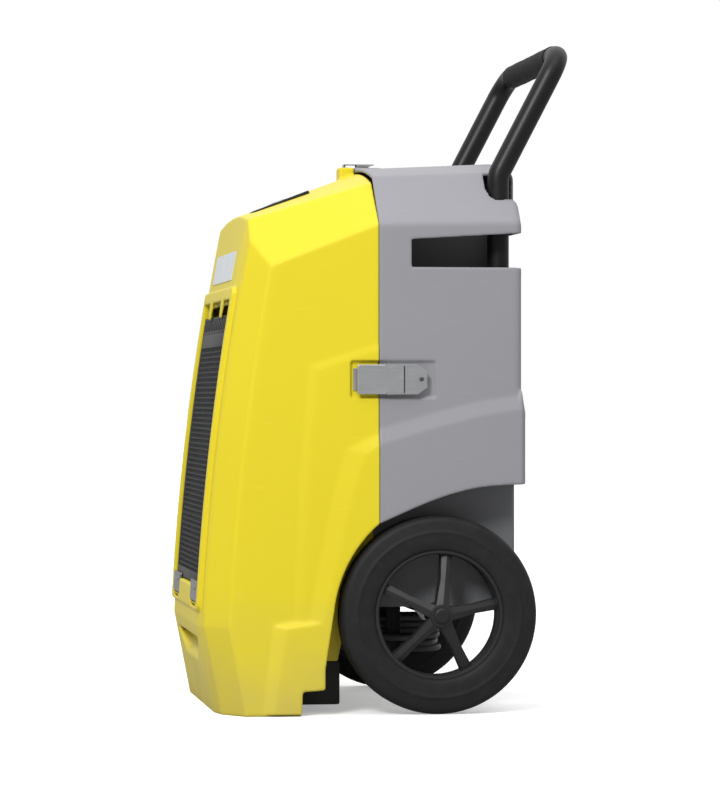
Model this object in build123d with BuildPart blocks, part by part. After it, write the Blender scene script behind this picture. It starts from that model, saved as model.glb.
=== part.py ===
from build123d import *
from math import atan2, cos, hypot, radians, sin, sqrt
import os

os.makedirs("parts", exist_ok=True)

# Driving dimensions, millimetres. The machine's front looks along -Y and the floor is Z = 0.
axle_y = 61.3
wheel_r = 127.0
axle_z = wheel_r
axle_r = 6.0
track_half = 212.0
tyre_width = 46.0
rim_r = 82.5

parting_y = axle_y - 78.0
wall = 4.0
side_x = 230.5
flare_x = 236.5
well_x = 183.0
rear_y = axle_y + 108.0

face_high = (axle_y - 255.8, 545.0)
face_mid = (axle_y - 284.9, 340.0)
face_low = (axle_y - 301.6, 142.0)
kink_z = 112.0
toe_y = axle_y - 281.0
skirt_y = axle_y - 179.5
step_z = 31.0

bezel_x = 172.0
bezel_z = (131.0, 546.0)
bezel_out = 3.0
opening_x = 157.0
opening_z = (161.0, 531.0)
grille_z = (163.0, 489.0)
grille_pivot_z = 509.5

cabinet_x = 180.0
upper_cabinet_x = 163.0
cabinet_floor = 135.0
cabinet_rear = axle_y + 103.0
cabinet_top = 668.0

handle_x = 185.0
handle_y = axle_y + 84.5
handle_r = 14.0
bend_z = 691.0
crossbar_y = axle_y + 167.0
crossbar_z = 849.0
leg_foot_z = 310.0
guide_r = handle_r + 0.08

outlet_z = 430.0
outlet_r = 112.0
fan_y = axle_y + 74.0

cord_r = 4.2


def at_y(y):
    """Plane through the given Y that faces the front; its own axes are X and Z."""
    return Plane.XZ.offset(-y)


def circle_through(p, q, r):
    ax, ay = q[0] - p[0], q[1] - p[1]
    bx, by = r[0] - p[0], r[1] - p[1]
    d = 2 * (ax * by - ay * bx)
    ux = (by * (ax * ax + ay * ay) - ay * (bx * bx + by * by)) / d
    uy = (ax * (bx * bx + by * by) - bx * (ax * ax + ay * ay)) / d
    return p[0] + ux, p[1] + uy, hypot(ux, uy)


face_cy, face_cz, face_radius = circle_through(face_high, face_mid, face_low)


def face_y(z, out=0.0):
    """Y of the curved front face at height z, moved outwards by out."""
    return face_cy - sqrt((face_radius + out) ** 2 - (z - face_cz) ** 2)


def face_strip(low, high, outer, inner):
    """Strip of the side view that follows the front face, between two offsets from it."""
    mid = (low + high) / 2
    with BuildSketch(Plane.YZ) as strip:
        with BuildLine():
            ThreePointArc((face_y(low, outer), low), (face_y(mid, outer), mid), (face_y(high, outer), high))
            Line((face_y(high, outer), high), (face_y(high, inner), high))
            ThreePointArc((face_y(high, inner), high), (face_y(mid, inner), mid), (face_y(low, inner), low))
            Line((face_y(low, inner), low), (face_y(low, outer), low))
        make_face()
    return strip.sketch


def front_window(half_x, low, high, corner, centre_x=0.0, y=-250.0):
    """Front view of a rounded rectangle."""
    with BuildSketch(at_y(y)) as window:
        with Locations((centre_x, (low + high) / 2)):
            RectangleRounded(2 * half_x, high - low, corner)
    return window.sketch


def front_outline(points, y):
    with BuildSketch(at_y(y)) as outline:
        with BuildLine():
            Polyline(*points, close=True)
        make_face()
    return outline.sketch


def side_outline(points, x=0.0):
    """Side view outline, from points given relative to the wheel axle's Y."""
    with BuildSketch(Plane.YZ.offset(x)) as outline:
        with BuildLine():
            Polyline(*[(axle_y + y, z) for y, z in points], close=True)
        make_face()
    return outline.sketch


def hood_section(y, edge, side, crown_z, edge_z, shoulder_z, bottom_z):
    """Front view of a hood: crowned top, sloping shoulders, upright sides."""
    with BuildSketch(at_y(y)) as section:
        with BuildLine():
            ThreePointArc((-edge, edge_z), (0, crown_z), (edge, edge_z))
            Polyline((edge, edge_z), (side, shoulder_z), (side, bottom_z),
                     (-side, bottom_z), (-side, shoulder_z), (-edge, edge_z))
        make_face()
    return section.sketch


def plan_view(plane, inset, y_zero):
    """Plan of the front housing: flat face, shallow outer strips, bevels, sides."""
    half = [(156 - 0.3 * inset, inset), (190 - 0.6 * inset, 6 + 0.8 * inset),
            (229 - inset, 34 + 0.5 * inset), (240 - inset, 345)]
    with BuildSketch(plane) as plan:
        with BuildLine():
            Polyline(*[(x, y_zero + y) for x, y in half],
                     *[(-x, y_zero + y) for x, y in reversed(half)], close=True)
        make_face()
    return plan.sketch


def wheel_well(x, grow):
    """Side view of the space round a wheel, grown by a wall's thickness."""
    r = wheel_r + 9 + grow
    with BuildSketch(Plane.YZ.offset(x)) as well:
        with BuildLine():
            Polyline((axle_y + 300, 293 + grow), (axle_y + 300, -60), (axle_y - 147 - grow, -60),
                     (axle_y - 147 - grow, 60), (axle_y - r, axle_z + 4))
            ThreePointArc((axle_y - r, axle_z + 4), (axle_y - 0.8 * r, axle_z + 0.6 * r),
                          (parting_y, axle_z + 116.8 + grow))
            Spline((parting_y, axle_z + 116.8 + grow), (axle_y - 13.1, 271.5 + grow),
                   (axle_y + 51.6, 289.5 + grow), (axle_y + 120, 293 + grow),
                   tangents=((1, 0.42), (1, 0)))
            Line((axle_y + 120, 293 + grow), (axle_y + 300, 293 + grow))
        make_face()
    return well.sketch


def wells(grow):
    """Both wheel spaces as solids, from the inner wall outwards."""
    with BuildPart() as spaces:
        extrude(wheel_well(well_x - grow, grow), amount=100)
        mirror(about=Plane.YZ)
    return spaces.part


def front_form(inset):
    """Outer form of the front housing, or with an inset the hollow inside it."""
    reach = 250.0
    back = parting_y + (1.0 if inset else 0.0)
    bottom = inset if inset else -2.0
    with BuildPart() as mask:
        revolve(plan_view(Plane.XY.offset(face_cz), inset, face_cy - face_radius),
                axis=Axis((0, face_cy, face_cz), (-1, 0, 0)), revolution_arc=16)
        with BuildSketch(Plane.XY.offset(kink_z)):
            Rectangle(900, 1600)
        extrude(amount=-800, mode=Mode.SUBTRACT)
        loft([plan_view(Plane.XY.offset(kink_z), inset, face_y(kink_z)),
              plan_view(Plane.XY.offset(-2), inset, toe_y)], ruled=True)
    with BuildPart() as form:
        loft([hood_section(back, 165 - 0.5 * inset, side_x - inset, 702 - inset, 682 - inset,
                           625.5 - 0.7 * inset, bottom),
              hood_section(back - reach, 165 - 0.5 * inset, side_x - 2 - inset,
                           702 - 0.37 * reach - inset, 682 - 0.3013 * reach - inset,
                           625.5 - 0.39 * reach - 0.7 * inset, bottom)], ruled=True)
        if not inset:
            fillet(chosen(form.part.edges(), lambda c: c.Z > 500 and abs(abs(c.X) - 165) < 4), 9)
        add(mask.part, mode=Mode.INTERSECT)
        if not inset:
            panels = flank_panels()
            add(panels)
            add(panels.mirror(Plane.YZ))
            with Locations((0, 0, -50)):
                Box(900, 900, 100, mode=Mode.SUBTRACT)
        under = [(-179.5 - inset, -50), (-176 - inset, step_z + inset), (-145 - inset, step_z + 2 + inset),
                 (-145 - inset, 66 + inset), (-124 - inset, 66 + inset),
                 (-110 - inset, cabinet_floor - 1 + inset), (60, cabinet_floor - 1 + inset), (60, -50)]
        extrude(side_outline(under), amount=300, both=True, mode=Mode.SUBTRACT)
        add(wells(inset), mode=Mode.SUBTRACT)
    return form.part


def raised(outer, inner, low_x, high_x):
    """Raised panel on the flank, from its foot outline to its top outline."""
    with BuildPart() as panel:
        loft([side_outline(outer, low_x), side_outline(inner, high_x)], ruled=True)
    return panel.part


def flank_panels():
    """The stepped panel and the wheel arch flare of the front housing's +X flank."""
    step_panel = raised([(-187, 462), (-78, 504), (-78, 120), (-206, 120), (-200, 290)],
                        [(-157, 438), (-78, 466), (-78, 120), (-176, 120), (-169, 290)], 226, 231.8)
    arch_flare = raised([(-139, 346), (-78, 372), (-78, 2), (-228, 2), (-216, 116), (-182, 122), (-153, 290)],
                        [(-96, 330), (-78, 344), (-78, 2), (-214, 2), (-196, 112), (-150, 118), (-112, 280)],
                        228.5, flare_x)
    with BuildPart() as panels:
        add(step_panel)
        add(arch_flare)
    return panels.part


def chosen(edges, test):
    """The edges whose middle passes a test."""
    return [edge for edge in edges if test(edge.center())]


def write(builder, name):
    builder.part.label = name
    export_step(builder.part, f"parts/{name}.step")


# Control panel: it lies on the slope of the crown.
slope = radians(21.0)
panel_plane = Plane(origin=(0, axle_y - 185, 660.8), x_dir=(1, 0, 0), z_dir=(0, -sin(slope), cos(slope)))
panel_half = (86.0, 40.0)
key_x = (-4.0, 20.0, 44.0, 68.0)
key_r = 7.0


def on_panel(depth, half, corner, centre=(0.0, 0.0)):
    with BuildSketch(panel_plane.offset(depth)) as shape:
        with Locations(centre):
            RectangleRounded(2 * half[0], 2 * half[1], corner)
    return shape.sketch


with BuildPart() as control_panel:
    extrude(on_panel(-9, panel_half, 9), amount=10.5)
    fillet(chosen(control_panel.part.edges(), lambda c: panel_plane.to_local_coords(c).Z > 1.4), 1.2)
    extrude(on_panel(0, (30.2, 16.2), 3, (-50, 0)), amount=10, mode=Mode.SUBTRACT)
    with BuildSketch(panel_plane.offset(-3.8)):
        with Locations(*[(x, 0) for x in key_x]):
            Circle(key_r + 0.3)
    extrude(amount=10, mode=Mode.SUBTRACT)
write(control_panel, "control_panel")

with BuildPart() as display_window:
    extrude(on_panel(0, (30, 16), 3, (-50, 0)), amount=1.8)
write(display_window, "display_window")

for number, x in enumerate(key_x, 1):
    with BuildPart() as key:
        with BuildSketch(panel_plane.offset(-2.2)):
            with Locations((x, 0)):
                Circle(key_r)
        extrude(amount=5.4)
        fillet(chosen(key.part.edges(), lambda c: panel_plane.to_local_coords(c).Z > 3), 0.8)
    write(key, f"control_key_{number}")

# Toggle latches. Their own frame runs along (rearwards), across, and out of the wall.
latch_z = 427.5
latch_floor = 227.5
top_floor = 711.0
top_scale = 0.46
latch_frames = {
    "right": (Plane(origin=(latch_floor, parting_y, latch_z), x_dir=(0, 1, 0), z_dir=(1, 0, 0)), 1.0),
    "left": (Plane(origin=(-latch_floor, parting_y, latch_z), x_dir=(0, 1, 0), z_dir=(-1, 0, 0)), 1.0),
    "top": (Plane(origin=(0, parting_y, top_floor), x_dir=(0, 1, 0), z_dir=(0, 0, 1)), top_scale),
}
lever_pivot = (12.0, 6.0)
claw_pivot = (26.0, 5.5)
pin_r = 1.6
seat_along = (-36.2, 73.3)
seat_half = 23.5


def block(along, across, out):
    """Solid between the given limits in a latch's own frame."""
    with BuildPart() as solid:
        with Locations(((along[0] + along[1]) / 2, (across[0] + across[1]) / 2, (out[0] + out[1]) / 2)):
            Box(along[1] - along[0], across[1] - across[0], out[1] - out[0])
    return solid.part


def cross_pin(at, radius, low, high):
    """Round bar across the latch, between two widths."""
    with BuildPart() as bar:
        with BuildSketch(Plane.XZ.offset(-low)):
            with Locations(at):
                Circle(radius)
        extrude(amount=-(high - low))
    return bar.part


with BuildPart() as lever_form:
    with BuildSketch(Plane.XY.offset(9)):
        with BuildLine():
            Polyline((32.5, -19), (49, -19), (61, -10.5), (61, 10.5), (49, 19), (32.5, 19), close=True)
        make_face()
        fillet(vertices().group_by(Axis.X)[-1], 2)
        with Locations((54, 0)):
            Circle(3, mode=Mode.SUBTRACT)
    extrude(amount=1.5)
    for low, high in ((17.5, 19), (-19, -17.5)):
        add(block((8.5, 48), (low, high), (3.5, 10.5)))
    fillet(chosen(lever_form.part.edges().filter_by(Axis.Y), lambda c: c.X < 9 and c.Z < 4), 2.4)
    for at in (lever_pivot, claw_pivot):
        add(cross_pin(at, pin_r + 0.08, -30, 30), mode=Mode.SUBTRACT)

with BuildPart() as claw_form:
    add(block((-29, 8), (-19, 19), (9, 10.5)))
    add(block((8, 31), (-17.2, 17.2), (9, 10.5)))
    add(block((-29, -27.4), (-14, 14), (2.8, 9)))
    add(block((22, 30), (-9, 9), (4, 9)))
    fillet(chosen(claw_form.part.edges().filter_by(Axis.Z), lambda c: c.X < -28 and abs(c.Y) > 18), 3)
    fillet(chosen(claw_form.part.edges().filter_by(Axis.Y), lambda c: c.X < -28 and c.Z > 10), 1.2)
    add(cross_pin(claw_pivot, pin_r, -18.9, 18.9))

with BuildPart() as latch_base_form:
    add(block((5, 46), (-17.2, 17.2), (0, 1.5)))
    for sign in (1, -1):
        ear = sorted((sign * 15.7, sign * 17.2))
        rivet = sorted((sign * 17.2, sign * 19.3))
        head = sorted((sign * 19.2, sign * 20.1))
        add(block((8.5, 15.5), ear, (0, 8.7)))
        add(cross_pin(lever_pivot, pin_r, *rivet))
        add(cross_pin(lever_pivot, 2.6, *head))

with BuildPart() as keeper_form:
    add(block((-33, -17), (-14, 14), (0, 1.5)))
    add(block((-26, -23.5), (-12, 12), (0, 8)))


def placed(form, name):
    """A latch piece at one of the three latches."""
    frame, size = latch_frames[name]
    piece = form.part if size == 1.0 else scale(form.part, by=size, mode=Mode.PRIVATE)
    return frame.location * piece


with BuildPart() as latch_bases:
    for name in latch_frames:
        add(placed(latch_base_form, name))
write(latch_bases, "latch_bases")

with BuildPart() as latch_keepers:
    for name in latch_frames:
        add(placed(keeper_form, name))
write(latch_keepers, "latch_keepers")

for name in latch_frames:
    with BuildPart() as latch_lever:
        add(placed(lever_form, name))
    write(latch_lever, f"latch_lever_{name}")
    with BuildPart() as latch_claw:
        add(placed(claw_form, name))
    write(latch_claw, f"latch_claw_{name}")

# Seats that both housings cut for the side latches, with a thicker wall behind them.
with BuildPart() as latch_seats:
    add(block(seat_along, (-seat_half, seat_half), (0, 14)))
seats = [latch_frames[name][0].location * latch_seats.part for name in ("right", "left")]
with BuildPart() as latch_backs:
    add(block((seat_along[0] - 5, seat_along[1] + 5), (-seat_half - 5, seat_half + 5), (-4, 1.5)))
backs = [latch_frames[name][0].location * latch_backs.part for name in ("right", "left")]


def half_space(front):
    """Everything in front of the parting plane, or behind it."""
    with BuildPart() as space:
        with Locations((0, parting_y + (-500 if front else 500), 400)):
            Box(1200, 1000, 1200)
    return space.part


# Front housing: a moulded shell with a raised frame round the intake.
clip_x = 114.0
clip_half = 39.0

with BuildPart() as intake_frame:
    extrude(face_strip(bezel_z[0] - 5, bezel_z[1] + 5, bezel_out, -9), amount=bezel_x, both=True)
    extrude(front_window(bezel_x, *bezel_z, 9), amount=200, both=True, mode=Mode.INTERSECT)

with BuildPart() as finger:
    extrude(face_strip(508.5, 540, bezel_out, 0), amount=100, both=True)
    extrude(front_outline([(49, 545), (86, 545), (75, 508.5), (60, 508.5)], -250), amount=200, both=True,
            mode=Mode.INTERSECT)

with BuildPart() as groove:
    extrude(face_strip(135, 543, 30, -8), amount=bezel_x + 9, both=True)
    extrude(face_strip(100, 560, 40, -20), amount=bezel_x, both=True, mode=Mode.SUBTRACT)

with BuildPart() as frame_backing:
    extrude(face_strip(128, 549, -4, -12), amount=bezel_x + 14, both=True)
    extrude(face_strip(120, 560, 40, -20), amount=opening_x, both=True, mode=Mode.SUBTRACT)

with BuildPart() as front_backs:
    for back in backs:
        add(back)
    add(half_space(True), mode=Mode.INTERSECT)

scoop_mouth = front_outline([(-138, 97), (138, 97), (80, 34), (-80, 34)], face_y(97) - 12)
scoop_end = front_outline([(-126, 93), (126, 93), (70, 80), (-70, 80)], face_y(97) + 24)
with BuildPart() as scoop_liner:
    loft([front_outline([(-144, 101), (144, 101), (84, 28), (-84, 28)], face_y(97) - 12),
          front_outline([(-130, 97), (130, 97), (73, 75), (-73, 75)], face_y(97) + 27)], ruled=True)
    add(front_form(2), mode=Mode.INTERSECT)

with BuildPart() as front_housing:
    add(front_form(0))
    add(front_form(wall), mode=Mode.SUBTRACT)
    add(groove.part, mode=Mode.SUBTRACT)
    add(frame_backing.part)
    add(intake_frame.part)
    add(front_backs.part)
    extrude(front_window(opening_x, *opening_z, 3), amount=60, both=True, mode=Mode.SUBTRACT)
    add(finger.part)
    add(finger.part.mirror(Plane.YZ))
    for x in (-clip_x, clip_x):
        extrude(front_window(clip_half + 1, 139.5, 175, 1.5, x, face_y(150, -3.2)), amount=20,
                mode=Mode.SUBTRACT)
        extrude(front_window(30, 134.5, 138, 0.8, x, -250), amount=80, both=True, mode=Mode.SUBTRACT)
    add(scoop_liner.part)
    loft([scoop_mouth, scoop_end], ruled=True, mode=Mode.SUBTRACT)
    extrude(on_panel(-40, panel_half, 9), amount=80, mode=Mode.SUBTRACT)
    for seat in seats:
        add(seat, mode=Mode.SUBTRACT)
    # Pad for the top latch's keeper.
    with Locations((0, parting_y - 10.5, top_floor - 9)):
        Box(30, 20, 18)
write(front_housing, "front_housing")

with BuildPart() as label_plate:
    extrude(face_strip(557, 595, 1.0, 0), amount=112, both=True)
write(label_plate, "label_plate")


# Rear housing: a hood over the cabinet, open towards the front and below.
def rear_form(inset):
    """Outer form of the rear housing, or with an inset the hollow inside it."""
    front = parting_y + (-1.0 if inset else 0.3)
    with BuildPart() as form:
        loft([hood_section(front, 168 - 0.5 * inset, side_x - inset, 708 - inset, 690 - inset,
                           626 - 0.7 * inset, 235),
              hood_section(rear_y - inset, 168 - 0.5 * inset, side_x - inset, 717 - inset, 698 - inset,
                           629 - 0.7 * inset, 235)], ruled=True)
        if not inset:
            fillet(chosen(form.part.edges().filter_by(lambda e: e.length > 150),
                          lambda c: c.Z > 600 and abs(c.Y - (front + rear_y) / 2) < 5), 12)
            fillet(chosen(form.part.edges(), lambda c: c.Y > rear_y - 1), 10)
            flare = raised([(-77.7, 372), (-12, 391), (49, 406), (108, 415), (108, 220), (-77.7, 220)],
                           [(-77.7, 344), (-12, 364), (49, 380), (108, 390), (108, 220), (-77.7, 220)],
                           228.5, flare_x)
            add(flare)
            add(flare.mirror(Plane.YZ))
            edge = flare_x - 1
            loft([front_outline([(-edge, 415), (edge, 415), (edge, 240), (-edge, 240)], rear_y - 2),
                  front_outline([(-228, 385), (228, 385), (228, 240), (-228, 240)], rear_y + 4.5)], ruled=True)
        extrude(wheel_well(-300, inset), amount=600, mode=Mode.SUBTRACT)
    return form.part


with BuildPart() as rear_backs:
    for back in backs:
        add(back)
    add(half_space(False), mode=Mode.INTERSECT)
    with Locations((0, parting_y + 500.3, 400)):
        Box(1200, 1000, 1200, mode=Mode.INTERSECT)

with BuildPart() as leg_cuts:
    for sign in (1, -1):
        with BuildSketch(Plane.XY.offset(640)):
            with Locations((sign * 185, handle_y + 60)):
                Rectangle(34, 120)
            with Locations((sign * 185, handle_y)):
                Circle(17)
            with Locations((sign * 176.5, handle_y + 8)):
                Rectangle(17, 50)
        extrude(amount=100)

with BuildPart() as rear_housing:
    add(rear_form(0))
    add(rear_form(wall), mode=Mode.SUBTRACT)
    add(rear_backs.part)
    extrude(side_outline([(-35.7, 571), (140, 571), (140, 617), (90, 614), (-35.7, 606.5)]), amount=300,
            both=True, mode=Mode.SUBTRACT)
    with BuildSketch(Plane.XY.offset(200)):
        with Locations((0, axle_y)):
            Rectangle(2 * cabinet_x + 1, 207)
    extrude(amount=92 + wall + 6, mode=Mode.SUBTRACT)
    with BuildSketch(at_y(rear_y + 30)):
        with Locations((0, outlet_z)):
            Circle(outlet_r)
    extrude(amount=60, mode=Mode.SUBTRACT)
    add(leg_cuts.part, mode=Mode.SUBTRACT)
    for seat in seats:
        add(seat, mode=Mode.SUBTRACT)
    # Pad for the top latch's base.
    with Locations((0, parting_y + 17.8, top_floor - 4)):
        Box(30, 35, 8)
write(rear_housing, "rear_housing")


# Cabinet: the dark sheet-metal enclosure that carries the working parts.
with BuildPart() as cabinet:
    lower_depth = axle_y + 107.8 - parting_y - 0.5
    with Locations((0, parting_y + 0.5 + lower_depth / 2, (cabinet_floor + 292) / 2)):
        Box(2 * cabinet_x, lower_depth, 292 - cabinet_floor)
    upper_depth = cabinet_rear - parting_y - 4
    with Locations((0, cabinet_rear - upper_depth / 2, (cabinet_top + 292) / 2)):
        Box(2 * upper_cabinet_x, upper_depth, cabinet_top - 292)
    fillet(chosen(cabinet.part.edges().filter_by(Axis.Z), lambda c: c.Y > cabinet_rear - 5), 6)
    with Locations((0, parting_y + 0.5 + (lower_depth - 2) / 2, (cabinet_floor + 292) / 2)):
        Box(2 * cabinet_x - 4, lower_depth - 2, 292 - cabinet_floor - 4, mode=Mode.SUBTRACT)
    with Locations((0, cabinet_rear - 2 - (upper_depth - 2) / 2, (cabinet_top - 2 + 280) / 2)):
        Box(2 * upper_cabinet_x - 4, upper_depth - 2, cabinet_top - 2 - 280, mode=Mode.SUBTRACT)
    with Locations((0, parting_y, 288)):
        Box(2 * upper_cabinet_x - 4, 12, 16, mode=Mode.SUBTRACT)
    with BuildSketch(at_y(cabinet_rear + 30)):
        with Locations((0, outlet_z)):
            Circle(outlet_r - 1)
    extrude(amount=60, mode=Mode.SUBTRACT)
write(cabinet, "cabinet")

with BuildPart() as base_foot:
    extrude(side_outline([(-174, 10), (-121, 10), (-121, 63), (-125.5, 65.8), (-144.7, 65.8), (-144.7, 32.6),
                          (-174, 30.6)]), amount=176, both=True)
    fillet(chosen(base_foot.part.edges().filter_by(Axis.X), lambda c: c.Z < 12), 3)
write(base_foot, "base_foot")

with BuildPart() as chassis_plate:
    with Locations((0, axle_y - 84, 139.7)):
        Box(350, 330, 2.8)
write(chassis_plate, "chassis_plate")

# Outlet: a guard of rings and bars held in a collar that lines the hole.
guard_r = outlet_r - 3.7
with BuildPart() as outlet_guard:
    with BuildSketch(at_y(rear_y - 1.5)):
        with Locations((0, outlet_z)):
            Circle(guard_r)
            Circle(guard_r - 6, mode=Mode.SUBTRACT)
    extrude(amount=3)
    with BuildSketch(at_y(rear_y - 1.8)):
        with Locations((0, outlet_z)):
            for r in (84, 64, 44, 24):
                Circle(r + 1.6)
                Circle(r - 1.6, mode=Mode.SUBTRACT)
            with PolarLocations(58, 8):
                Rectangle(94, 3)
            Circle(14)
    extrude(amount=2.4)
write(outlet_guard, "outlet_guard")

with BuildPart() as outlet_collar:
    with BuildSketch(Plane.YZ):
        with BuildLine():
            Polyline(*[(axle_y + y, outlet_z + r) for y, r in
                       ((99, guard_r + 0.1), (99, 118), (101, 118), (101, outlet_r - 1.1),
                        (104.6, outlet_r - 1.1), (104.6, outlet_r - 0.2), (107.6, outlet_r - 0.2),
                        (107.6, guard_r + 0.1))], close=True)
        make_face()
    revolve(axis=Axis((0, 0, outlet_z), (0, 1, 0)))
write(outlet_collar, "outlet_collar")

# Wheels on a fixed axle.
cap_x = track_half + 38.3
with BuildPart() as wheel_axle:
    with BuildSketch(Plane.YZ.offset(-cap_x - 1)):
        with Locations((axle_y, axle_z)):
            Circle(axle_r)
    extrude(amount=2 * cap_x + 2)
write(wheel_axle, "wheel_axle")


def axle_rings(name, spans, outer, inner=axle_r):
    with BuildPart() as rings:
        for low, high in spans:
            with BuildSketch(Plane.YZ.offset(low)):
                with Locations((axle_y, axle_z)):
                    Circle(outer)
                    Circle(inner, mode=Mode.SUBTRACT)
            extrude(amount=high - low)
    write(rings, name)


axle_rings("axle_spacers", [(172.5, 191.4), (-191.4, -172.5)], 7.8)

with BuildPart() as axle_caps:
    for sign in (1, -1):
        with BuildSketch(Plane.XZ.offset(-axle_y)):
            with BuildLine():
                Polyline(*[(sign * (cap_x + out), axle_z + r)
                           for out, r in ((0, 0), (0, 10), (2, 10), (3.5, 7.5), (3.5, 0))], close=True)
            make_face()
        revolve(axis=Axis((0, axle_y, axle_z), (1, 0, 0)))
    with BuildSketch(Plane.YZ.offset(-cap_x - 1)):
        with Locations((axle_y, axle_z)):
            Circle(axle_r)
    extrude(amount=2 * cap_x + 2, mode=Mode.SUBTRACT)
write(axle_caps, "axle_caps")

with BuildPart() as axle_brackets:
    for sign in (1, -1):
        with BuildSketch(Plane.YZ.offset(sign * 166)) as bracket:
            with BuildLine():
                Polyline((axle_y - 26, cabinet_floor), (axle_y - 12, axle_z - 10), (axle_y + 12, axle_z - 10),
                         (axle_y + 26, cabinet_floor), close=True)
            make_face()
            fillet(vertices().group_by(Axis.Y)[0], 6)
            with Locations((axle_y, axle_z)):
                Circle(axle_r, mode=Mode.SUBTRACT)
        extrude(amount=sign * 6.5)
write(axle_brackets, "axle_brackets")

spoke_count = 5
spoke_start = 8.0


def spoke_section(radius, half_width, back, front):
    """Ridged cross-section of a spoke at a radius, on a plane square to it, pointing up."""
    with BuildSketch(Plane.XY.offset(axle_z + radius)) as section:
        with BuildLine():
            Polyline((track_half + back, axle_y - half_width), (track_half + back, axle_y + half_width),
                     (track_half + front - 3, axle_y + half_width), (track_half + front, axle_y),
                     (track_half + front - 3, axle_y - half_width), close=True)
        make_face()
    return section.sketch


with BuildPart() as spoke:
    loft([spoke_section(9, 9, 18, 38), spoke_section(46, 5.8, 2, 26), spoke_section(80, 7.5, -7, 13)],
         ruled=True)

with BuildPart() as rim_right:
    with BuildSketch(Plane.XZ.offset(-axle_y)):
        with BuildLine():
            Polyline((track_half - 19, axle_z + 77.5), (track_half + 16, axle_z + 77.5),
                     (track_half + 18.5, axle_z + 79), (track_half + 18.5, axle_z + rim_r),
                     (track_half - 19, axle_z + rim_r), close=True)
        make_face()
    revolve(axis=Axis((0, axle_y, axle_z), (1, 0, 0)))
    for index in range(spoke_count):
        turn = Rotation(-(spoke_start + index * 360 / spoke_count), 0, 0)
        add(Pos(0, axle_y, axle_z) * turn * Pos(0, -axle_y, -axle_z) * spoke.part)
    with BuildSketch(Plane.YZ.offset(track_half - 20)):
        with Locations((axle_y, axle_z)):
            Circle(14)
    extrude(amount=58)
    with BuildSketch(Plane.YZ.offset(track_half - 30)):
        with Locations((axle_y, axle_z)):
            Circle(axle_r + 0.06)
    extrude(amount=80, mode=Mode.SUBTRACT)
write(rim_right, "rim_right")

with BuildPart() as tyre_right:
    half = tyre_width / 2
    with BuildSketch(Plane.XZ.offset(-axle_y)):
        with BuildLine():
            outline = [(-18, rim_r), (18, rim_r), (21.5, 87), (22, 93), (half, 97), (half, 105), (21.5, 108),
                       (19, 118.5), (11, wheel_r)]
            Polyline(*[(track_half + x, axle_z + r) for x, r in outline],
                     *[(track_half - x, axle_z + r) for x, r in reversed(outline[2:])],
                     (track_half - 18, axle_z + rim_r), close=True)
        make_face()
        fillet([v for v in vertices() if v.Y > axle_z + 115], 7)
    revolve(axis=Axis((0, axle_y, axle_z), (1, 0, 0)))
write(tyre_right, "tyre_right")

with BuildPart() as rim_left:
    add(rim_right.part.mirror(Plane.YZ))
write(rim_left, "rim_left")

with BuildPart() as tyre_left:
    add(tyre_right.part.mirror(Plane.YZ))
write(tyre_left, "tyre_left")

# Handle: one bent tube whose legs slide in four guides on the cabinet.
handle_route = [(handle_x, handle_y, leg_foot_z), (handle_x, handle_y, bend_z),
                (handle_x, crossbar_y, crossbar_z), (-handle_x, crossbar_y, crossbar_z),
                (-handle_x, handle_y, bend_z), (-handle_x, handle_y, leg_foot_z)]
with BuildPart() as handle_tube:
    with BuildLine() as handle_line:
        FilletPolyline(*handle_route, radius=34)
    with BuildSketch(Plane.XY.offset(leg_foot_z)):
        with Locations((handle_x, handle_y)):
            Circle(handle_r)
            Circle(handle_r - 2, mode=Mode.SUBTRACT)
    sweep(path=handle_line.line)
write(handle_tube, "handle_tube")

with BuildPart() as handle_grip:
    with BuildSketch(Plane.YZ.offset(-138)):
        with Locations((crossbar_y, crossbar_z)):
            Circle(handle_r + 1.6)
            Circle(handle_r, mode=Mode.SUBTRACT)
    extrude(amount=276)
write(handle_grip, "handle_grip")

with BuildPart() as handle_guides:
    for sign in (1, -1):
        for low, high in ((470, 495), (540, 565)):
            with BuildSketch(Plane.XY.offset(low)) as guide:
                with Locations((sign * (upper_cabinet_x + 19.5), handle_y + 1)):
                    RectangleRounded(39, 35, 5)
                with Locations((sign * (upper_cabinet_x + 3), handle_y + 1)):
                    Rectangle(6, 35)
                with Locations((sign * handle_x, handle_y)):
                    Circle(guide_r, mode=Mode.SUBTRACT)
            extrude(amount=high - low)
write(handle_guides, "handle_guides")

# Intake grille, whose solid top edge hooks behind the fingers, the filter and two spring clips.
with BuildPart() as front_grille:
    extrude(face_strip(grille_z[0], 512, -1, -4), amount=154, both=True)
    extrude(face_strip(grille_z[0] + 14, grille_z[1] - 19, 3, -2), amount=146, both=True,
            mode=Mode.SUBTRACT)
write(front_grille, "front_grille")

with BuildPart() as air_filter:
    extrude(face_strip(172, 482, -7, -19), amount=147, both=True)
write(air_filter, "air_filter")

for name, sign in (("right", 1), ("left", -1)):
    with BuildPart() as grille_clip:
        extrude(face_strip(138, 172, 2.9, -0.3), amount=2 * clip_x, both=True)
        extrude(front_window(clip_half, 142, 168, 2, sign * clip_x), amount=200, both=True, mode=Mode.INTERSECT)
        with Locations((sign * clip_x, face_y(158, 2.7), 158)):
            Box(40, 2.4, 3)
    write(grille_clip, f"grille_clip_{name}")

# Refrigeration parts.
with BuildPart() as evaporator_coil:
    with Locations((0, axle_y - 205, (560 + 144.6) / 2)):
        Box(312, 38, 560 - 144.6)
write(evaporator_coil, "evaporator_coil")

with BuildPart() as condenser_coil:
    with Locations((0, axle_y - 160, (560 + 144.6) / 2)):
        Box(312, 32, 560 - 144.6)
write(condenser_coil, "condenser_coil")

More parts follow.
